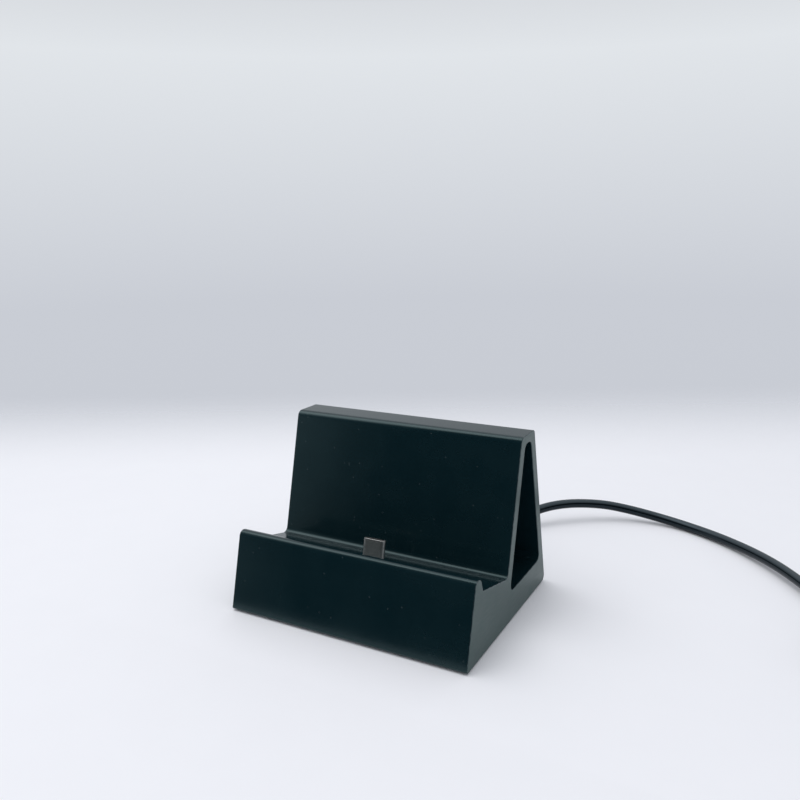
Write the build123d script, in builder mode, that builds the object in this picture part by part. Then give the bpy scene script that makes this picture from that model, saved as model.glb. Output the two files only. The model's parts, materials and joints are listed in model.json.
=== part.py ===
"""Handheld console dock.

A lipped tray leans back against an open A-frame, and a charging plug stands up in the tray.
The plug's lead runs under the base to the rear, and goes on as a free cord to a supply plug.

Millimetres, +X along the dock, +Y to the rear, +Z up. The origin is on the table, under the
middle of the dock.
"""

import os
from math import cos, pi, radians, sin, tan

from build123d import *

# Dock section, as seen on its right end: y from the front edge, z from the underside
length = 92.0
height = 63.4
lean = 14.0  # degrees off vertical of the front, the backrest and the rear leg
backrest_foot = 29.7  # where the backrest's plane meets the underside
crest_width = 12.7
crest_thickness = 3.1
wall = 4.0  # backrest and rear leg
base_thickness = 10.8  # under the open triangle
tray_floor_height = 17.1  # at the tray's lowest corner, along the backrest
lip_rise = 4.1  # square to the tray floor
lip_top_width = 4.0
lip_foot_width = 6.7

# Roundings of the section, and of the edges of the two end faces
foot_front_radius = 0.8
foot_rear_radius = 2.0
crest_front_radius = 2.5
crest_rear_radius = 1.5
tray_corner_radius = 2.2
lip_foot_radius = 0.8
lip_rear_radius = 2.4
lip_front_radius = 2.1
window_radius = 2.6
end_edge_radius = 0.25

# Rubber feet, set in recesses of the underside
foot_diameter = 9.0
foot_recess = 1.0
foot_proud = 0.5
foot_clearance = 0.1
foot_inset = 10.0  # from each side of the dock to a foot's middle
foot_chamfer = 0.3

# Charging plug: a flat round-ended metal shell on a right-angle moulded body
plug_setback = 11.5  # plug's middle to the backrest, along the tray floor
plug_reach = 6.8  # shell above the tray floor
shell_width = 8.34
shell_depth = 2.56
shell_wall = 0.3
shell_seat = 3.0  # shell's hold in the moulded body
shell_clearance = 0.15
shell_tip_radius = 0.15
insert_setback = 0.25
socket_rim = 0.47  # insert beside each end of its socket
socket_depth = 1.0
socket_reach = 5.2
contact_width = 0.25
contact_thickness = 0.12
contact_margin = 0.525  # outer contacts to the socket's ends
contact_setback = 0.8  # contacts to each end of the socket's depth
contacts_in_row = 12
tray_skin = 3.0  # tray floor over the plug's body
plug_body_width = 12.4
plug_body_depth = 6.6
plug_body_radius = 2.0
plug_body_recess = 0.6  # body's bottom above the dock's underside
plug_tail_length = 8.0
plug_tail_root = 6.4
plug_tail_tip = 5.2
pocket_clearance = 0.15

# Lead in its channel, and the strain relief at the rear
cord_diameter = 4.0
lead_seat = 5.0  # lead's hold in the plug's tail
moulded_gap = 0.05
channel_clearance = 0.15
channel_roof = 1.5  # of the base over the collar
collar_diameter = 7.0
collar_length = 2.0
collar_clearance = 0.1
collar_web = 3.0  # of the base behind the collar
neck_diameter = 5.2
boot_stand_off = 0.3  # boot's shoulder clear of the leaning rear face
boot_length = 10.0
boot_root = 6.6
boot_tip = 5.0
boot_grooves = 3
groove_width = 0.8
groove_depth = 0.5

# Put-away length of the cord: a flat coil on its tie, to the right of the dock
coil_x = 171.0
coil_y = 26.0
coil_middle_radius = 5.6 * cord_diameter
turn_pitch = 1.03 * cord_diameter
coil_turns = 2.75  # in each layer
coil_layers = 2
coil_chamfer = 1.0
coil_entry_angle = 180.0
coil_exit_angle = 0.0
coil_end_margin = 0.5  # straight ends of the coil, past its outer turn
coil_end_inset = 0.2
coil_end_lift = 0.05
coil_lead_in = 12.5  # last straight run of the cord before the coil
tie_width = 7.0
tie_thickness = 0.8
tie_clearance = 0.05
tie_angle = 262.0

# Cord between them, on the table
table_gap = 0.05
bend_share = 0.45  # of the shorter run beside a bend
tail_level_length = 8.0
tail_drop_length = 10.0

# Supply plug on the cord's far end, lying flat on the table
grip_width = 15.6
grip_thickness = 8.4
grip_radius = 2.0
grip_length = 14.0
grip_neck_length = 6.0
grip_neck_width = 10.0
grip_neck_thickness = 6.4
grip_boot_length = 9.0
grip_boot_root = 6.2
grip_boot_tip = 5.0
supply_shell_width = 12.0
supply_shell_thickness = 4.5
supply_shell_wall = 0.3
supply_shell_radius = 0.5
supply_shell_reach = 18.75
supply_shell_seat = 4.0
latch_width = 2.5
latch_length = 2.2
latch_spacing = 5.0
latch_from_tip = 6.2
supply_tongue_thickness = 1.9
supply_tongue_setback = 1.0
supply_block_reach = 9.0  # full-height back of the insert, beyond the grip
supply_contact_width = 1.0
supply_contact_thickness = 0.15
supply_contact_setback = 2.35  # contacts to the tongue's tip
supply_contact_places = (-3.5, -1.0, 1.0, 3.5)

# Values that follow from those above
slope = tan(radians(lean))
tilt_cos = cos(radians(lean))
tilt_sin = sin(radians(lean))
depth = backrest_foot + crest_width + 2 * height * slope
lead_height = base_thickness - channel_roof - collar_clearance - collar_diameter / 2
lead_z = foot_proud + lead_height
cord_radius = cord_diameter / 2

section_plane = Plane(origin=(0, -depth / 2, foot_proud), x_dir=(0, 1, 0), z_dir=(1, 0, 0))
tray_corner = (backrest_foot + tray_floor_height * slope, tray_floor_height)


def on_tray(setback):
    """Section point on the tray floor, this far from the backrest."""
    return (tray_corner[0] - setback * tilt_cos, tray_corner[1] + setback * tilt_sin)


def on_lean(back, up):
    """Section point this far behind the front face's plane, and this far up along it."""
    return (back * tilt_cos + up * tilt_sin, up * tilt_cos - back * tilt_sin)


tray_up = tray_corner[0] * tilt_sin + tray_corner[1] * tilt_cos
lip_front = on_lean(0, tray_up + lip_rise)
lip_rear = on_lean(lip_top_width, tray_up + lip_rise)
lip_foot = on_lean(lip_foot_width, tray_up)
crest_front = (backrest_foot + height * slope, height)
crest_rear = (crest_front[0] + crest_width, height)
section_corners = [
    ((0, 0), foot_front_radius),
    ((depth, 0), foot_rear_radius),
    (crest_rear, crest_rear_radius),
    (crest_front, crest_front_radius),
    (tray_corner, tray_corner_radius),
    (lip_foot, lip_foot_radius),
    (lip_rear, lip_rear_radius),
    (lip_front, lip_front_radius),
]

window_top = height - crest_thickness
window_front = backrest_foot + wall / tilt_cos
window_rear = depth - wall / tilt_cos
window_corners = [
    (window_front + base_thickness * slope, base_thickness),
    (window_rear - base_thickness * slope, base_thickness),
    (window_rear - window_top * slope, window_top),
    (window_front + window_top * slope, window_top),
]

# The plug's plane lies on the tray floor, with its normal up along the backrest
plug_place = on_tray(plug_setback)
plug_plane = Plane(
    origin=section_plane.from_local_coords((plug_place[0], plug_place[1], 0)),
    x_dir=(1, 0, 0),
    z_dir=(0, tilt_sin, tilt_cos),
)
plug_y = plug_plane.origin.Y
plug_z = plug_plane.origin.Z
pocket_reach = plug_z / tilt_cos + plug_body_depth
shell_foot = tray_skin + shell_seat

# Places along the lead's axis, from the plug to the rear
body_axis_y = plug_y - (plug_z - lead_z) * slope
tail_root_y = body_axis_y + plug_body_depth / 2 / tilt_cos - plug_tail_root / 2 * slope
tail_end_y = body_axis_y + plug_body_depth / 2 / tilt_cos + plug_tail_length
rear_face_y = depth / 2 - lead_height * slope
collar_y = rear_face_y - collar_web - collar_length
boot_y = rear_face_y + boot_root / 2 * slope + boot_stand_off
boot_end_y = boot_y + boot_length


def across_lead(y):
    """Plane across the lead's axis at y, facing the rear, with its own y pointing down."""
    return Plane(origin=(0, y, lead_z), x_dir=(1, 0, 0), z_dir=(0, 1, 0))


foot_x = length / 2 - foot_inset
foot_y = depth / 2 - foot_inset

with BuildPart() as dock_body:
    with BuildSketch(section_plane) as section:
        with BuildLine():
            Polyline(*[corner for corner, radius in section_corners], close=True)
        make_face()
        for corner, radius in section_corners:
            fillet(section.vertices().sort_by_distance(corner)[0], radius)
    extrude(amount=length / 2, both=True)

    with BuildSketch(section_plane) as window:
        with BuildLine():
            Polyline(*window_corners, close=True)
        make_face()
        fillet(window.vertices(), window_radius)
    extrude(amount=length, both=True, mode=Mode.SUBTRACT)

    fillet(dock_body.faces().filter_by(Axis.X).edges(), end_edge_radius)

    with BuildSketch(plug_plane.offset(-tray_skin)):
        RectangleRounded(
            plug_body_width + 2 * pocket_clearance,
            plug_body_depth + 2 * pocket_clearance,
            plug_body_radius + pocket_clearance,
        )
    extrude(amount=-pocket_reach, mode=Mode.SUBTRACT)
    with BuildSketch(plug_plane.offset(-tray_skin)):
        SlotOverall(shell_width + 2 * shell_clearance, shell_depth + 2 * shell_clearance)
    extrude(amount=tray_skin, mode=Mode.SUBTRACT)

    # Round-topped channels along the lead, open to the underside
    for width, start, end in (
        (plug_tail_root + 2 * pocket_clearance, body_axis_y, tail_end_y + pocket_clearance),
        (cord_diameter + 2 * channel_clearance, tail_end_y, collar_y),
        (
            collar_diameter + 2 * collar_clearance,
            collar_y - collar_clearance,
            collar_y + collar_length + collar_clearance,
        ),
        (neck_diameter + 2 * channel_clearance, collar_y + collar_length, depth / 2),
    ):
        with BuildSketch(across_lead(start)):
            Circle(width / 2)
            Rectangle(width, lead_height, align=(Align.CENTER, Align.MIN))
        extrude(amount=end - start, mode=Mode.SUBTRACT)

    with BuildSketch(Plane.XY.offset(foot_proud)):
        with GridLocations(2 * foot_x, 2 * foot_y, 2, 2):
            Circle(foot_diameter / 2 + foot_clearance)
    extrude(amount=foot_recess, mode=Mode.SUBTRACT)
dock_body.part.label = "dock_body"

feet = []
for side, x in (("left", -foot_x), ("right", foot_x)):
    for end, y in (("front", -foot_y), ("rear", foot_y)):
        with BuildPart() as foot:
            with BuildSketch(Plane(origin=(x, y, 0))):
                Circle(foot_diameter / 2)
            extrude(amount=foot_proud + foot_recess)
            chamfer(foot.edges().group_by(Axis.Z)[0], foot_chamfer)
        foot.part.label = f"foot_{end}_{side}"
        feet.append(foot.part)

with BuildPart() as charge_plug_shell:
    with BuildSketch(plug_plane.offset(-shell_foot)):
        SlotOverall(shell_width, shell_depth)
        SlotOverall(shell_width - 2 * shell_wall, shell_depth - 2 * shell_wall, mode=Mode.SUBTRACT)
    extrude(amount=shell_foot + plug_reach)
    tip = charge_plug_shell.faces().sort_by(Axis(plug_plane.origin, plug_plane.z_dir))[-1]
    fillet(tip.outer_wire().edges(), shell_tip_radius)
charge_plug_shell.part.label = "charge_plug_shell"

socket_width = shell_width - 2 * (shell_wall + socket_rim)
contact_pitch = (socket_width - contact_width - 2 * contact_margin) / (contacts_in_row - 1)

with BuildPart() as charge_plug_insert:
    with BuildSketch(plug_plane.offset(-shell_foot)):
        SlotOverall(shell_width - 2 * shell_wall, shell_depth - 2 * shell_wall)
    extrude(amount=shell_foot + plug_reach - insert_setback)
    with BuildSketch(plug_plane.offset(plug_reach - insert_setback)):
        Rectangle(socket_width, socket_depth)
    extrude(amount=-socket_reach, mode=Mode.SUBTRACT)
charge_plug_insert.part.label = "charge_plug_insert"

with BuildPart() as charge_plug_contacts:
    with BuildSketch(plug_plane.offset(plug_reach - insert_setback - contact_setback)):
        with GridLocations(contact_pitch, socket_depth - contact_thickness, contacts_in_row, 2):
            Rectangle(contact_width, contact_thickness)
    extrude(amount=2 * contact_setback - socket_reach)
charge_plug_contacts.part.label = "charge_plug_contacts"

with BuildPart() as charge_plug_body:
    with BuildSketch(plug_plane.offset(-tray_skin)):
        RectangleRounded(plug_body_width, plug_body_depth, plug_body_radius)
    extrude(amount=-pocket_reach)
    split(bisect_by=Plane.XY.offset(foot_proud + plug_body_recess), keep=Keep.TOP)
    with BuildSketch(across_lead(tail_root_y)):
        Circle(plug_tail_root / 2)
    with BuildSketch(across_lead(tail_end_y)):
        Circle(plug_tail_tip / 2)
    loft()
    with BuildSketch(plug_plane.offset(-tray_skin)):
        SlotOverall(shell_width, shell_depth)
    extrude(amount=-shell_seat, mode=Mode.SUBTRACT)
    with BuildSketch(across_lead(tail_end_y)):
        Circle(cord_radius + moulded_gap)
    extrude(amount=-lead_seat, mode=Mode.SUBTRACT)
charge_plug_body.part.label = "charge_plug_body"

with BuildPart() as lead_in_base:
    with BuildSketch(across_lead(tail_end_y - lead_seat)):
        Circle(cord_radius)
    extrude(amount=collar_y - tail_end_y + lead_seat)
lead_in_base.part.label = "lead_in_base"

with BuildPart() as cord_boot:
    shoulder = boot_y - collar_y
    boot_tip_end = shoulder + boot_length
    groove_step = boot_length / (boot_grooves + 1)
    with BuildSketch(Plane(origin=(0, collar_y, lead_z), x_dir=(0, 1, 0), z_dir=(1, 0, 0))):
        with BuildLine():
            Polyline(
                (0, 0),
                (0, collar_diameter / 2),
                (collar_length, collar_diameter / 2),
                (collar_length, neck_diameter / 2),
                (shoulder, neck_diameter / 2),
                (shoulder, boot_root / 2),
                (boot_tip_end, boot_tip / 2),
                (boot_tip_end, 0),
                close=True,
            )
        make_face()
        for groove in range(1, boot_grooves + 1):
            share = groove / (boot_grooves + 1)
            outer_radius = (boot_root + (boot_tip - boot_root) * share) / 2
            with Locations((shoulder + groove * groove_step, outer_radius)):
                Rectangle(groove_width, 2 * groove_depth, mode=Mode.SUBTRACT)
    revolve(axis=Axis((0, 0, lead_z), (0, 1, 0)))
cord_boot.part.label = "cord_boot"

# Coil: heights of its turns, and its straight ends along two tangents of its outer turn
coil_bottom = tie_thickness + tie_clearance
coil_half_width = (coil_turns * turn_pitch + cord_diameter) / 2
coil_height = cord_diameter + (coil_layers - 1) * turn_pitch
coil_outer_radius = coil_middle_radius + coil_half_width
lower_turn_z = coil_bottom + cord_radius + coil_end_lift
upper_turn_z = coil_bottom + coil_height - cord_radius - coil_end_lift
coil_axis = Axis((coil_x, coil_y, 0), (0, 0, 1))
end_radius = coil_outer_radius - cord_radius - coil_end_inset
clear_radius = coil_outer_radius + cord_radius
coil_end_length = (clear_radius**2 - end_radius**2) ** 0.5 + coil_end_margin


def coil_end_plane(angle, z, way):
    """Plane at the outer end of the coil's straight end that touches its outer turn at angle.

    The turns run anticlockwise from above. The plane faces along the cord: way is -1 where the
    cord comes in and 1 where it leaves.
    """
    out = Vector(cos(radians(angle)), sin(radians(angle)), 0)
    along = Vector(-sin(radians(angle)), cos(radians(angle)), 0)
    touch = Vector(coil_x, coil_y, z) + out * end_radius
    return Plane(origin=touch + along * (way * coil_end_length), z_dir=along)


coil_entry = coil_end_plane(coil_entry_angle, lower_turn_z, -1)
coil_exit = coil_end_plane(coil_exit_angle, upper_turn_z, 1)


def coil_section(grown):
    """Section of the coil's ring, grown all round."""
    with BuildSketch() as ring:
        with Locations((coil_middle_radius, coil_bottom + coil_height / 2)):
            Rectangle(2 * coil_half_width, coil_height)
        chamfer(ring.vertices(), coil_chamfer)
        offset(amount=grown, kind=Kind.INTERSECTION)
    return ring.sketch


with BuildPart() as cord_coil:
    with BuildSketch(Plane(origin=(coil_x, coil_y, 0), x_dir=(1, 0, 0), z_dir=(0, -1, 0))):
        add(coil_section(0))
    revolve(axis=coil_axis)
    with BuildSketch(coil_entry):
        Circle(cord_radius)
    extrude(amount=coil_end_length)
    with BuildSketch(coil_exit):
        Circle(cord_radius)
    extrude(amount=-coil_end_length)
cord_coil.part.label = "cord_coil"

with BuildPart() as cord_tie:
    tie_plane = Plane(
        origin=(coil_x, coil_y, 0),
        x_dir=(cos(radians(tie_angle)), sin(radians(tie_angle)), 0),
        z_dir=(sin(radians(tie_angle)), -cos(radians(tie_angle)), 0),
    )
    with BuildSketch(tie_plane):
        add(coil_section(tie_clearance + tie_thickness))
        add(coil_section(tie_clearance), mode=Mode.SUBTRACT)
    revolve(axis=coil_axis, revolution_arc=tie_width / radians(1) / coil_middle_radius)
cord_tie.part.label = "cord_tie"

# Supply plug: its plane is at the grip's front, facing the way the plug points
plug_axis_z = grip_thickness / 2
tail_length = 2 * tail_level_length + tail_drop_length
grip_reach = tail_length + grip_boot_length + grip_neck_length + grip_length


def past_coil(distance, z):
    """Point this far past the coil's straight end, on the line along which the cord leaves it."""
    point = coil_exit.from_local_coords((0, 0, distance))
    return (point.X, point.Y, z)


supply_plane = Plane(
    origin=past_coil(grip_reach, plug_axis_z),
    x_dir=Vector(0, 0, 1).cross(coil_exit.z_dir),
    z_dir=coil_exit.z_dir,
)
supply_inner_width = supply_shell_width - 2 * supply_shell_wall
supply_inner_thickness = supply_shell_thickness - 2 * supply_shell_wall
supply_tongue_length = supply_shell_reach - supply_tongue_setback - supply_block_reach

with BuildPart() as supply_plug_grip:
    with BuildSketch(supply_plane):
        RectangleRounded(grip_width, grip_thickness, grip_radius)
    extrude(amount=-grip_length)
    with BuildSketch(supply_plane.offset(-grip_length)):
        RectangleRounded(grip_width, grip_thickness, grip_radius)
    with BuildSketch(supply_plane.offset(-grip_length - grip_neck_length)):
        RectangleRounded(grip_neck_width, grip_neck_thickness, grip_radius)
    loft()
    with BuildSketch(supply_plane.offset(-grip_length - grip_neck_length)):
        Circle(grip_boot_root / 2)
    with BuildSketch(supply_plane.offset(-grip_length - grip_neck_length - grip_boot_length)):
        Circle(grip_boot_tip / 2)
    loft()
    with BuildSketch(supply_plane):
        RectangleRounded(supply_shell_width, supply_shell_thickness, supply_shell_radius)
    extrude(amount=-supply_shell_seat, mode=Mode.SUBTRACT)
supply_plug_grip.part.label = "supply_plug_grip"

with BuildPart() as supply_plug_shell:
    with BuildSketch(supply_plane.offset(-supply_shell_seat)):
        RectangleRounded(supply_shell_width, supply_shell_thickness, supply_shell_radius)
        Rectangle(supply_inner_width, supply_inner_thickness, mode=Mode.SUBTRACT)
    extrude(amount=supply_shell_seat + supply_shell_reach)
    latch_plane = Plane(origin=past_coil(grip_reach + supply_shell_reach - latch_from_tip, plug_axis_z))
    with BuildSketch(latch_plane):
        with GridLocations(latch_spacing, 0, 2, 1):
            Rectangle(latch_width, latch_length)
    extrude(amount=supply_shell_thickness, both=True, mode=Mode.SUBTRACT)
supply_plug_shell.part.label = "supply_plug_shell"

with BuildPart() as supply_plug_insert:
    with BuildSketch(supply_plane.offset(-supply_shell_seat)):
        Rectangle(supply_inner_width, supply_inner_thickness)
    extrude(amount=supply_shell_seat + supply_block_reach)
    with BuildSketch(supply_plane.offset(supply_block_reach)):
        with Locations((0, supply_inner_thickness / 2)):
            Rectangle(supply_inner_width, supply_tongue_thickness, align=(Align.CENTER, Align.MAX))
    extrude(amount=supply_tongue_length)
supply_plug_insert.part.label = "supply_plug_insert"

with BuildPart() as supply_plug_contacts:
    tongue_face = supply_inner_thickness / 2 - supply_tongue_thickness
    with BuildSketch(supply_plane.offset(supply_block_reach)):
        with Locations(*[(x, tongue_face) for x in supply_contact_places]):
            Rectangle(supply_contact_width, supply_contact_thickness, align=(Align.CENTER, Align.MAX))
    extrude(amount=supply_tongue_length - supply_contact_setback)
supply_plug_contacts.part.label = "supply_plug_contacts"

# Free cord: out of the boot, a low arch, and down to the table towards the coil
on_table = cord_radius + table_gap
cord_route = [
    (0, boot_end_y, lead_z),
    (0, 57.5, lead_z),
    (4.5, 67.5, 6.5),
    (14.0, 77.5, 7.0),
    (26.5, 89.5, 7.8),
    (43.5, 98.4, 10.6),
    (61.5, 109.2, 6.4),
    (81.5, 113.3, 2.1),
    (103.0, 103.1, on_table),
    (122.5, 88.1, on_table),
    (137.3, 67.0, 2.3),
    tuple(coil_entry.from_local_coords((0, 0, -coil_lead_in))),
    tuple(coil_entry.origin),
]
tail_route = [
    past_coil(0, upper_turn_z),
    past_coil(tail_level_length, upper_turn_z),
    past_coil(tail_level_length + tail_drop_length, plug_axis_z),
    past_coil(tail_length, plug_axis_z),
]


def bend_radii(route):
    """One radius for each inner point: as large as its two runs allow."""
    points = [Vector(*point) for point in route]
    radii = []
    for before, point, after in zip(points, points[1:], points[2:]):
        turn = radians((point - before).get_angle(after - point))
        shorter = min((point - before).length, (after - point).length)
        radii.append(bend_share * shorter / tan(turn / 2))
    return radii


tubes = []
for name, route in (("cord", cord_route), ("cord_tail", tail_route)):
    radii = bend_radii(route)
    with BuildPart() as tube:
        with BuildLine():
            path = FilletPolyline(*route, radius=radii)
        with BuildSketch(Plane(origin=path @ 0, z_dir=path % 0)):
            Circle(cord_radius)
        sweep()
    tube.part.label = name
    tubes.append(tube.part)
    swept = pi * cord_radius**2 * path.length
    print(name, "radii", [round(radius, 1) for radius in radii])
    print(name, "length", round(path.length, 1), "volume share", round(tube.part.volume / swept, 4))

os.makedirs("parts", exist_ok=True)
for piece in (
    dock_body.part,
    *feet,
    charge_plug_shell.part,
    charge_plug_insert.part,
    charge_plug_contacts.part,
    charge_plug_body.part,
    lead_in_base.part,
    cord_boot.part,
    *tubes,
    cord_coil.part,
    cord_tie.part,
    supply_plug_grip.part,
    supply_plug_shell.part,
    supply_plug_insert.part,
    supply_plug_contacts.part,
):
    export_step(piece, f"parts/{piece.label}.step")
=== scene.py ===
"""Looks of the handheld console dock.

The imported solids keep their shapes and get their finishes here. The free cord with its coil, and
the strap that ties the coil, are modelled here, in metres, in the solids' own frame.
"""

import json
from math import atan2, cos, pi, radians, sin

import bpy
from mathutils import Matrix, Vector


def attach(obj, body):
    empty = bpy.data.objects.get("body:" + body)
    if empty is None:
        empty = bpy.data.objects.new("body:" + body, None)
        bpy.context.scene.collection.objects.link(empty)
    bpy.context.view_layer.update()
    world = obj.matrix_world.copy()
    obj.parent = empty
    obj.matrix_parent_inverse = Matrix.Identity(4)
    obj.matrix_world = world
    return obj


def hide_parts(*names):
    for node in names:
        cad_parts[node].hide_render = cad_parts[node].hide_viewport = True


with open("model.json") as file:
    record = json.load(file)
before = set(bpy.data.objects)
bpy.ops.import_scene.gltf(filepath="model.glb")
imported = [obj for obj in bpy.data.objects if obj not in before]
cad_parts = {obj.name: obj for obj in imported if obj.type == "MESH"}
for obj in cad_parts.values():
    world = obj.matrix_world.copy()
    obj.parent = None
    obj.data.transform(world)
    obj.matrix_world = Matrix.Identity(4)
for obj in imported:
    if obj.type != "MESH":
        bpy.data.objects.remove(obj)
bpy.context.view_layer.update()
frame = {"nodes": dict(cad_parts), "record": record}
nodes = frame["nodes"]

# Camera, at the photograph's viewing angle
camera_place = (0.13227, -0.23458, 0.13789)
camera_yaw = 28.674  # degrees, to the left of +Y
camera_pitch = 13.256  # degrees, downwards
camera_roll = -0.897  # degrees
camera_lens = 35.432  # millimetres
camera_sensor = 36.0  # millimetres wide
camera_clip_start = 0.01

# Free cord: out of the boot, in a low arch and along the table to the coil
cord_diameter = 0.0040
cord_route = [  # at the arch a little rounder than the solid tube's
    (0.0, 0.04671, 0.0062),
    (0.0, 0.0575, 0.0062),
    (0.0040, 0.0670, 0.0062),
    (0.0120, 0.0750, 0.0060),
    (0.0215, 0.0833, 0.0062),
    (0.0327, 0.0956, 0.0089),
    (0.0482, 0.1065, 0.0079),
    (0.0615, 0.1122, 0.0052),
    (0.0815, 0.1133, 0.0021),
    (0.1030, 0.1025, 0.0023),
    (0.1226, 0.0845, 0.0035),
    (0.1373, 0.0640, 0.0036),
    (0.14314, 0.05487, 0.0029),
    (0.14314, 0.04237, 0.0029),
]
cord_steps_per_point = 8
cord_bevel_steps = 6

# Coil of the length that is put away: in along the lower layer, and out again along the upper one
coil_middle = (0.1710, 0.0260)
coil_outer_radius = 0.02787
coil_inner_radius = 0.01673
coil_lower_z = 0.0029
coil_upper_z = 0.00692
coil_start_angle = 180.0  # degrees
coil_layer_turns = 2.625
coil_climb_turns = 0.25
coil_points_per_turn = 24

# From the coil to the supply plug
cord_tail = [
    (0.19887, 0.04237, 0.00692),
    (0.19887, 0.05037, 0.00692),
    (0.19887, 0.06037, 0.0042),
    (0.19887, 0.06837, 0.0042),
]

# Strap that ties the coil
strap_angle = 271.0  # degrees, round the coil
strap_width = 0.0070
strap_thickness = 0.0007
strap_corner_radius = 0.0022
strap_overlap = 0.0085
strap_half_span = 0.00809  # across the coil's section, to the strap's middle
strap_low = 0.00042
strap_high = 0.00938
strap_climb_start = 0.0012  # before the edge of the end below, where the upper end starts to rise
strap_climb_end = 0.0004  # past that edge
strap_edge_radius = 0.00018
strap_edge_segments = 2
strap_steps_per_corner = 6
strap_columns = 5

# Dust
speck_core = 0.4  # share of a speck's radius that has its full strength

# Floor and light
floor_half_size = 3.0
floor_fade_start = 0.15  # from the dock's middle, away from the camera
floor_fade_end = 0.36
floor_colour = (0.88, 0.88, 0.91)
floor_second_colour = (0.875, 0.875, 0.905)
key_place = (-0.24, -0.07, 0.80)
key_aim = (0, 0, 0.02)
key_size = 0.70
key_power = 2.38  # watts

# Backdrop's colour at each height: the sine of the angle above the horizon
backdrop_shades = [
    (-0.28, (0.575, 0.600, 0.655)),
    (-0.10, (0.585, 0.610, 0.665)),
    (0.18, (0.755, 0.785, 0.820)),
    (0.235, (0.690, 0.715, 0.750)),
    (0.27, (0.400, 0.420, 0.445)),
    (0.42, (0.400, 0.420, 0.445)),
    (0.65, (0.840, 0.860, 0.900)),
]

# Dark upright cards before the dock and to its left, for reflections only
card_colour = (0.008, 0.012, 0.014)
cards = {
    "front_card": dict(
        start=(-0.165, -0.062),
        end=(0.45, -0.062),
        fade_length=0.135,
        fade_height=0.20,
        height=0.36,
    ),
    "left_card": dict(
        start=(-0.60, 0.52),
        end=(-0.60, -0.10),
        fade_length=0.14,
        fade_height=0.12,
        height=0.46,
    ),
}


class Finish:
    """Material of one principled shader, with detail worked out from the object's coordinates."""

    def __init__(self, name, colour, roughness, metallic=0.0, specular=0.5, tint=(1.0, 1.0, 1.0)):
        self.material = bpy.data.materials.new(name)
        self.material.use_nodes = True
        self.tree = self.material.node_tree
        self.shader = self.tree.nodes["Principled BSDF"]
        self.shader.inputs["Base Color"].default_value = (*colour, 1)
        self.shader.inputs["Roughness"].default_value = roughness
        self.shader.inputs["Metallic"].default_value = metallic
        self.shader.inputs["Specular IOR Level"].default_value = specular
        self.shader.inputs["Specular Tint"].default_value = (*tint, 1)
        self.place = self.coordinates("Object")

    def node(self, kind, inputs=(), **settings):
        """New node; inputs are pairs of a socket and either a value or an output to link."""
        made = self.tree.nodes.new(kind)
        for name, value in settings.items():
            setattr(made, name, value)
        for socket, value in inputs:
            if isinstance(value, bpy.types.NodeSocket):
                self.tree.links.new(value, made.inputs[socket])
            else:
                made.inputs[socket].default_value = value
        return made

    def set(self, socket, value):
        """Links an output to a socket of the shader."""
        self.tree.links.new(value, self.shader.inputs[socket])

    def coordinates(self, kind):
        return self.node("ShaderNodeTexCoord").outputs[kind]

    def stretched(self, scale):
        """The object's coordinates, scaled apart along each axis."""
        return self.node("ShaderNodeMapping", [("Vector", self.place), ("Scale", scale)]).outputs["Vector"]

    def along(self, axis, vector):
        """One of a vector's three numbers."""
        return self.node("ShaderNodeSeparateXYZ", [("Vector", vector)]).outputs[axis]

    def facing(self, axis):
        """How much the surface faces along an axis of the object, from -1 to 1."""
        return self.along(axis, self.coordinates("Normal"))

    def noise(self, scale=1.0, detail=3.0, place=None):
        inputs = [("Vector", place or self.place), ("Scale", scale), ("Detail", detail)]
        return self.node("ShaderNodeTexNoise", inputs).outputs["Fac"]

    def math(self, operation, first, second=0.0):
        return self.node("ShaderNodeMath", [(0, first), (1, second)], operation=operation).outputs[0]

    def sum(self, first, second):
        return self.math("ADD", first, second)

    def product(self, first, second):
        return self.math("MULTIPLY", first, second)

    def ramp(self, value, source, target=(0.0, 1.0)):
        """Value carried over smoothly from one range to another."""
        inputs = [
            ("Value", value),
            ("From Min", source[0]),
            ("From Max", source[1]),
            ("To Min", target[0]),
            ("To Max", target[1]),
        ]
        return self.node("ShaderNodeMapRange", inputs, interpolation_type="SMOOTHSTEP").outputs["Result"]

    def blend(self, share, first, second):
        """Number between two outputs."""
        inputs = [(0, share), (2, first), (3, second)]
        return self.node("ShaderNodeMix", inputs, data_type="FLOAT").outputs[0]

    def mix(self, share, first, second):
        """Colour between two, each an output or three numbers."""
        colours = [c if isinstance(c, bpy.types.NodeSocket) else (*c, 1) for c in (first, second)]
        inputs = [(0, share), (6, colours[0]), (7, colours[1])]
        return self.node("ShaderNodeMix", inputs, data_type="RGBA").outputs[2]

    def vary(self, value, first, second, source=(0.3, 0.7)):
        """Colour that goes from one to another as a value goes through a range."""
        return self.mix(self.ramp(value, source), first, second)

    def specks(self, scale, radius, share, strength):
        """One small dot in some of the cells of a jumbled grid: strength on the dots, else 0."""
        cells = self.node("ShaderNodeTexVoronoi", [("Vector", self.place), ("Scale", scale)])
        chosen = self.node("ShaderNodeSeparateColor", [("Color", cells.outputs["Color"])]).outputs["Red"]
        edge = (speck_core * radius * scale, radius * scale)
        near = self.ramp(cells.outputs["Distance"], edge, (1.0, 0.0))
        dots = self.product(near, self.math("LESS_THAN", chosen, share))
        return self.product(dots, strength)

    def bump(self, height, strength, depth):
        inputs = [("Height", height), ("Strength", strength), ("Distance", depth)]
        self.set("Normal", self.node("ShaderNodeBump", inputs).outputs["Normal"])


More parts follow.
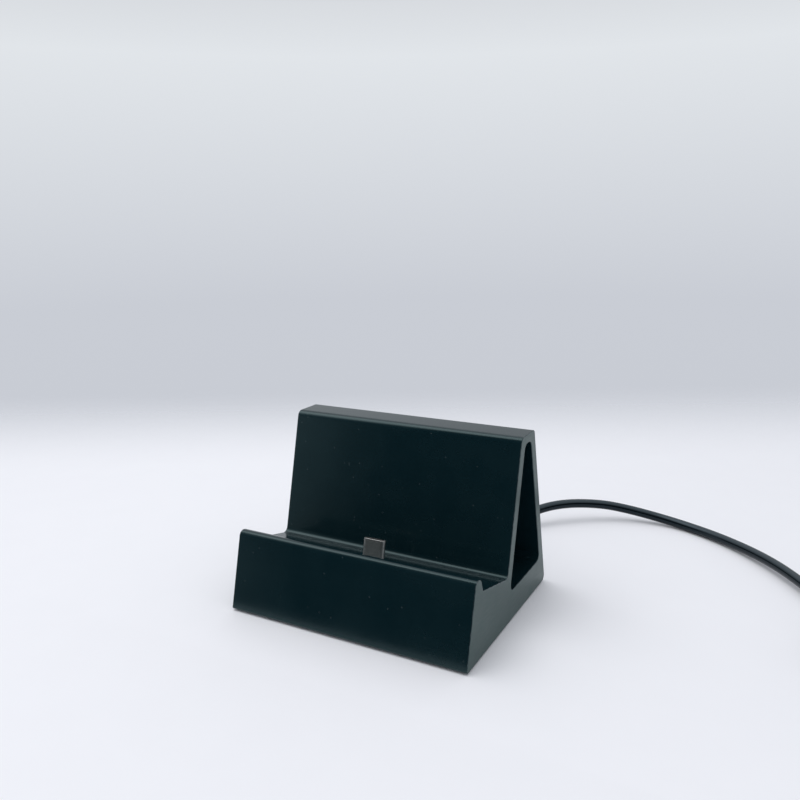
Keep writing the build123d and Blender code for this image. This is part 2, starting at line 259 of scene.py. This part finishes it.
def anodised():
    """Black anodised extrusion: faint drawn lines along it, duller sawn ends, paler partly for their
    finish and partly as a painted reflection, a patchy painted highlight along their rims, and dust.
    """
    finish = Finish(
        "anodised_black",
        colour=(0.0033, 0.0134, 0.0173),
        roughness=0.17,
        specular=0.45,
        tint=(0.72, 1.0, 1.0),
    )
    drift = finish.noise(scale=90, detail=4)
    grain = finish.noise(scale=4200, detail=2)
    drawn = finish.noise(place=finish.stretched((18, 1500, 1500)))
    cut = finish.noise(place=finish.stretched((1500, 160, 1900)))
    rim_patches = finish.noise(scale=500)
    endwards = finish.math("ABSOLUTE", finish.facing("X"))
    sawn = finish.ramp(endwards, (0.80, 0.99))
    unsawn = finish.ramp(endwards, (0.80, 0.99), (1.0, 0.0))
    rim = finish.product(finish.ramp(endwards, (0.05, 0.5)), unsawn)
    # Paler rims along the ends' edges: a painted highlight, broken into patches like rubbed wear
    patchy_marks = finish.product(rim, finish.ramp(rim_patches, (0.35, 0.75), (0.15, 0.8)))

    colour = finish.vary(drift, (0.0028, 0.0124, 0.0162), (0.0038, 0.0144, 0.0184))
    # Sawn ends paler: partly their duller sawn finish, partly a painted reflection of the pale floor
    # beside them
    end_colour_and_painted_reflection = finish.vary(drift, (0.0075, 0.0325, 0.0296), (0.0110, 0.0391, 0.0356))
    colour = finish.mix(sawn, colour, end_colour_and_painted_reflection)
    # Painted highlight on the ends' rims
    colour = finish.mix(patchy_marks, colour, (0.115, 0.130, 0.140))
    dust = finish.specks(scale=430, radius=0.00026, share=0.32, strength=0.68)
    colour = finish.mix(dust, colour, (0.07, 0.085, 0.09))
    finish.set("Base Color", colour)

    shine = finish.sum(
        finish.ramp(drift, (0.25, 0.75), (0.155, 0.185)),
        finish.ramp(drawn, (0.3, 0.7), (-0.01, 0.01)),
    )
    dull = finish.sum(
        finish.ramp(drift, (0.25, 0.75), (0.30, 0.36)),
        finish.ramp(cut, (0.3, 0.7), (-0.03, 0.03)),
    )
    finish.set("Roughness", finish.blend(sawn, shine, dull))
    height = finish.sum(finish.product(grain, 0.7), finish.product(drawn, 0.3))
    finish.bump(height, strength=0.2, depth=0.00001)
    return finish.material


def cord_jacket():
    """Smooth black jacket with a fine satin tooth, paler on its upper side as a painted highlight from the
    light above.
    """
    finish = Finish(
        "cord_jacket",
        colour=(0.001, 0.003, 0.005),
        roughness=0.09,
        specular=0.34,
        tint=(0.68, 0.87, 1.0),
    )
    drift = finish.noise(scale=160)
    # Paler colour on the upward-facing side: a painted highlight along the top of the cord
    painted_top_highlight = finish.ramp(finish.facing("Z"), (0.25, 0.85))
    colour = finish.vary(drift, (0.0006, 0.0024, 0.0040), (0.0016, 0.0040, 0.0058))
    colour = finish.mix(painted_top_highlight, colour, (0.036, 0.046, 0.052))
    dust = finish.specks(scale=420, radius=0.00012, share=0.2, strength=0.4)
    colour = finish.mix(dust, colour, (0.07, 0.075, 0.08))
    finish.set("Base Color", colour)
    finish.set("Roughness", finish.ramp(drift, (0.25, 0.75), (0.08, 0.11)))
    finish.bump(finish.noise(scale=5200, detail=2), strength=0.2, depth=0.00001)
    return finish.material


def moulding():
    """Black moulding with a spark-eroded texture."""
    finish = Finish("plug_moulding", colour=(0.012, 0.013, 0.015), roughness=0.5, specular=0.4)
    drift = finish.noise(scale=200)
    finish.set("Base Color", finish.vary(drift, (0.009, 0.010, 0.012), (0.016, 0.017, 0.019)))
    finish.set("Roughness", finish.ramp(drift, (0.25, 0.75), (0.44, 0.56)))
    finish.bump(finish.noise(scale=3400, detail=4), strength=0.5, depth=0.00005)
    return finish.material


def foot_rubber():
    """Matt rubber, with the dust that rubber picks up."""
    finish = Finish("foot_rubber", colour=(0.022, 0.022, 0.022), roughness=0.8, specular=0.3)
    drift = finish.noise(scale=450, detail=4)
    colour = finish.vary(drift, (0.016, 0.016, 0.017), (0.034, 0.034, 0.034), source=(0.35, 0.75))
    dust = finish.specks(scale=900, radius=0.00012, share=0.35, strength=0.5)
    colour = finish.mix(dust, colour, (0.16, 0.155, 0.15))
    finish.set("Base Color", colour)
    finish.set("Roughness", finish.ramp(drift, (0.25, 0.75), (0.74, 0.88)))
    finish.bump(finish.noise(scale=2600, detail=4), strength=0.5, depth=0.00006)
    return finish.material


def plated_shell():
    """Nickel plating over drawn steel: fine lines, and small dull patches."""
    finish = Finish("plated_shell", colour=(0.70, 0.69, 0.67), roughness=0.38, metallic=1.0)
    lines = finish.noise(place=finish.stretched((6000, 400, 400)))
    patches = finish.noise(scale=700, detail=4)
    colour = finish.vary(patches, (0.74, 0.73, 0.71), (0.62, 0.61, 0.59), source=(0.4, 0.8))
    finish.set("Base Color", colour)
    shine = finish.sum(
        finish.ramp(patches, (0.3, 0.8), (0.34, 0.42)),
        finish.ramp(lines, (0.3, 0.7), (-0.03, 0.03)),
    )
    finish.set("Roughness", shine)
    finish.bump(lines, strength=0.15, depth=0.00001)
    return finish.material


def insert_plastic():
    """Black insulator inside the plugs."""
    finish = Finish("insert_plastic", colour=(0.014, 0.014, 0.015), roughness=0.45, specular=0.45)
    drift = finish.noise(scale=900)
    finish.set("Base Color", finish.mix(drift, (0.010, 0.010, 0.011), (0.020, 0.020, 0.021)))
    finish.set("Roughness", finish.ramp(drift, (0.25, 0.75), (0.38, 0.52)))
    finish.bump(finish.noise(scale=6000, detail=2), strength=0.25, depth=0.00002)
    return finish.material


def gold_plating():
    """Thin gold on the contacts, a little rubbed."""
    finish = Finish("gold_plating", colour=(0.83, 0.60, 0.25), roughness=0.25, metallic=1.0)
    patchy_marks = finish.noise(scale=2400)
    colour = finish.vary(patchy_marks, (0.85, 0.62, 0.27), (0.66, 0.50, 0.26), source=(0.45, 0.8))
    finish.set("Base Color", colour)
    finish.set("Roughness", finish.ramp(patchy_marks, (0.3, 0.8), (0.18, 0.36)))
    return finish.material


def woven_strap():
    """Black woven strap: ribs across it, crossed by the warp, with a dull sheen."""
    finish = Finish("woven_strap", colour=(0.020, 0.020, 0.022), roughness=0.85, specular=0.2)
    finish.shader.inputs["Sheen Weight"].default_value = 0.25
    finish.shader.inputs["Sheen Roughness"].default_value = 0.5
    cloth = finish.coordinates("UV")
    threads = []
    for direction in ("X", "Y"):
        inputs = [("Vector", cloth), ("Scale", 520.0), ("Distortion", 0.6), ("Detail", 1.0)]
        threads.append(finish.node("ShaderNodeTexWave", inputs, bands_direction=direction).outputs["Fac"])
    weave = finish.product(threads[0], threads[1])
    fuzz = finish.noise(scale=5000)
    shade = finish.sum(finish.product(weave, 0.7), finish.product(fuzz, 0.3))
    finish.set("Base Color", finish.mix(shade, (0.008, 0.008, 0.009), (0.040, 0.040, 0.043)))
    finish.bump(shade, strength=0.9, depth=0.00015)
    return finish.material


def add_object(name, data):
    """New object in the scene."""
    made = bpy.data.objects.new(name, data)
    bpy.context.scene.collection.objects.link(made)
    return made


def coil_turns():
    """Control points of the coil, as far outside its turns as the smooth line then passes inside them."""
    step = 2 * pi / coil_points_per_turn
    climb_end = coil_layer_turns + coil_climb_turns
    all_turns = coil_layer_turns + climb_end
    points = []
    for index in range(round(all_turns * coil_points_per_turn) + 1):
        turns = index / coil_points_per_turn
        inwards = min(turns / coil_layer_turns, 1) - max((turns - climb_end) / coil_layer_turns, 0)
        radius = coil_outer_radius + (coil_inner_radius - coil_outer_radius) * inwards
        climbed = min(max((turns - coil_layer_turns) / coil_climb_turns, 0), 1)
        angle = radians(coil_start_angle) + index * step
        points.append(
            (
                coil_middle[0] + radius / cos(step / 2) * cos(angle),
                coil_middle[1] + radius / cos(step / 2) * sin(angle),
                coil_lower_z + (coil_upper_z - coil_lower_z) * climbed,
            )
        )
    return points


def make_cord():
    """The free cord on one smooth line, from the boot through the coil to the supply plug."""
    points = [*cord_route, *coil_turns(), *cord_tail]
    curve = bpy.data.curves.new("free_cord", "CURVE")
    curve.dimensions = "3D"
    curve.bevel_depth = 1.0  # times the radius of each point
    curve.bevel_resolution = cord_bevel_steps
    curve.resolution_u = cord_steps_per_point
    spline = curve.splines.new("NURBS")
    spline.points.add(len(points) - 1)
    for target, point in zip(spline.points, points):
        target.co = (*point, 1)
        target.radius = cord_diameter / 2
    spline.order_u = 3  # set after the points, or the runs would stay straight
    spline.use_endpoint_u = True
    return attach(add_object("free_cord", curve), "root")


def strap_outline():
    """The strap's middle line round the coil's section: across and up, one end lapping over the other."""
    half_lap = strap_overlap / 2
    inner = strap_half_span - strap_corner_radius
    low, high = strap_low + strap_corner_radius, strap_high - strap_corner_radius
    line = [(half_lap, strap_high)]
    for x, z, start in ((-inner, high, 90), (-inner, low, 180), (inner, low, 270), (inner, high, 0)):
        for step in range(strap_steps_per_corner + 1):
            angle = radians(start + 90 * step / strap_steps_per_corner)
            line.append((x + strap_corner_radius * cos(angle), z + strap_corner_radius * sin(angle)))
    lapped = strap_high + strap_thickness
    line.append((half_lap + strap_climb_start, strap_high))
    line.append((half_lap - strap_climb_end, lapped))
    line.append((-half_lap, lapped))
    return line


def make_strap():
    """Strap round the coil, with one end lapped over the other, as a sheet that is then thickened."""
    outline = strap_outline()
    outwards = Vector((cos(radians(strap_angle)), sin(radians(strap_angle)), 0))
    sideways = Vector((-outwards.y, outwards.x, 0))
    middle = Vector((*coil_middle, 0)) + outwards * (coil_inner_radius + coil_outer_radius) / 2
    vertices, faces, cloth = [], [], []
    run = 0.0
    for index, (across, z) in enumerate(outline):
        if index:
            run += (Vector((across, z)) - Vector(outline[index - 1])).length
        for column in range(strap_columns):
            side = (column / (strap_columns - 1) - 0.5) * strap_width
            vertices.append(middle + outwards * across + sideways * side + Vector((0, 0, z)))
            cloth.append((run, side))
    for row in range(len(outline) - 1):
        for column in range(strap_columns - 1):
            first = row * strap_columns + column
            above = first + strap_columns
            faces.append((first, first + 1, above + 1, above))
    mesh = bpy.data.meshes.new("coil_strap")
    mesh.from_pydata(vertices, [], faces)
    layer = mesh.uv_layers.new(name="cloth")
    for loop in mesh.loops:
        layer.data[loop.index].uv = cloth[loop.vertex_index]
    mesh.polygons.foreach_set("use_smooth", [True] * len(mesh.polygons))
    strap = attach(add_object("coil_strap", mesh), "root")
    thick = strap.modifiers.new("thickness", "SOLIDIFY")
    thick.thickness = strap_thickness
    thick.offset = 0
    soft = strap.modifiers.new("edges", "BEVEL")
    soft.width = strap_edge_radius
    soft.segments = strap_edge_segments
    return strap


def set_finish(piece, material):
    """Gives a piece its material."""
    piece.data.materials.clear()
    piece.data.materials.append(material)


def make_floor():
    """Pale table that fades into the backdrop behind the dock."""
    half = floor_half_size
    corners = [(-half, -half, 0), (half, -half, 0), (half, half, 0), (-half, half, 0)]
    mesh = bpy.data.meshes.new("floor")
    mesh.from_pydata(corners, [], [(0, 1, 2, 3)])
    add_object("floor", mesh)
    finish = Finish("floor", floor_colour, roughness=0.6, specular=0.2)
    away = (-sin(radians(camera_yaw)), cos(radians(camera_yaw)), 0)
    distance = finish.node("ShaderNodeVectorMath", [(0, finish.place), (1, away)], operation="DOT_PRODUCT")
    fade = (floor_fade_start, floor_fade_end)
    finish.set("Alpha", finish.ramp(distance.outputs["Value"], fade, (1.0, 0.0)))
    drift = finish.noise(scale=60, detail=4)
    finish.set("Base Color", finish.vary(drift, floor_second_colour, floor_colour))
    mesh.materials.append(finish.material)


def make_world():
    """Pale backdrop all round, a little darker low down and where it ends, under the light overhead."""
    world = bpy.data.worlds.new("backdrop")
    bpy.context.scene.world = world
    world.use_nodes = True
    tree = world.node_tree
    direction = tree.nodes.new("ShaderNodeTexCoord").outputs["Generated"]
    split = tree.nodes.new("ShaderNodeSeparateXYZ")
    tree.links.new(direction, split.inputs["Vector"])
    height = tree.nodes.new("ShaderNodeMapRange")
    tree.links.new(split.outputs["Z"], height.inputs["Value"])
    height.inputs["From Min"].default_value = -1.0
    height.inputs["From Max"].default_value = 1.0
    shades = tree.nodes.new("ShaderNodeValToRGB")
    tree.links.new(height.outputs["Result"], shades.inputs["Fac"])
    steps = shades.color_ramp.elements
    steps.remove(steps[1])
    for index, (level, colour) in enumerate(backdrop_shades):
        position = (level + 1) / 2
        step = steps.new(position) if index else steps[0]
        step.position = position
        step.color = (*colour, 1)
    background = tree.nodes["Background"]
    tree.links.new(shades.outputs["Color"], background.inputs["Color"])
    background.inputs["Strength"].default_value = 1.0


def make_card(name, start, end, fade_length, fade_height, height):
    """Dark upright card that only gloss sees.

    It fades in over a length from its start, and fades out from a height up to its own height.
    """
    run = Vector(end) - Vector(start)
    corners = [(0, 0, 0), (run.length, 0, 0), (run.length, 0, height), (0, 0, height)]
    mesh = bpy.data.meshes.new(name)
    mesh.from_pydata(corners, [], [(0, 1, 2, 3)])
    finish = Finish(name, card_colour, roughness=0.9, specular=0.0)
    upwards = finish.ramp(finish.along("Z", finish.place), (fade_height, height), (1.0, 0.0))
    endwards = finish.ramp(finish.along("X", finish.place), (0.0, fade_length))
    finish.set("Alpha", finish.product(upwards, endwards))
    mesh.materials.append(finish.material)
    card = add_object(name, mesh)
    card.location = (*start, 0)
    card.rotation_euler.z = atan2(run.y, run.x)
    card.visible_camera = False
    card.visible_diffuse = False
    card.visible_shadow = False


def make_lamp(name, place, aim, size, power):
    """Soft square lamp that faces a point of the dock."""
    lamp = bpy.data.lights.new(name, "AREA")
    lamp.shape = "SQUARE"
    lamp.size = size
    lamp.energy = power
    holder = add_object(name, lamp)
    holder.location = place
    holder.rotation_euler = (Vector(aim) - Vector(place)).to_track_quat("-Z", "Y").to_euler()


def make_camera():
    """Camera at its place, turned by its yaw, pitch and roll."""
    camera = add_object("camera", bpy.data.cameras.new("camera"))
    camera.data.lens = camera_lens
    camera.data.sensor_width = camera_sensor
    camera.data.clip_start = camera_clip_start
    camera.matrix_world = (
        Matrix.Translation(camera_place)
        @ Matrix.Rotation(radians(camera_yaw), 4, "Z")
        @ Matrix.Rotation(radians(90 - camera_pitch), 4, "X")
        @ Matrix.Rotation(radians(camera_roll), 4, "Z")
    )
    bpy.context.scene.camera = camera


# Cord and strap, in place of their solids
cord = make_cord()
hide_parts("cord", "cord_coil", "cord_tail")
strap = make_strap()
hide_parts("cord_tie")

# Finishes
finishes = {
    "body": anodised(),
    "foot": foot_rubber(),
    "plug_shell": plated_shell(),
    "plug_insert": insert_plastic(),
    "contact": gold_plating(),
    "plug_moulding": moulding(),
    "cord": cord_jacket(),
    "tie": woven_strap(),
}
for row in frame["record"]["subparts"]:
    set_finish(nodes[row["node"]], finishes[row["material_slot"]])
set_finish(cord, finishes["cord"])
set_finish(strap, finishes["tie"])

# Floor, backdrop, light and camera
make_floor()
make_world()
for name, card in cards.items():
    make_card(name, **card)
make_lamp("key", key_place, key_aim, key_size, key_power)
make_camera()
bpy.context.scene.view_settings.view_transform = "Standard"

bpy.context.view_layer.update()
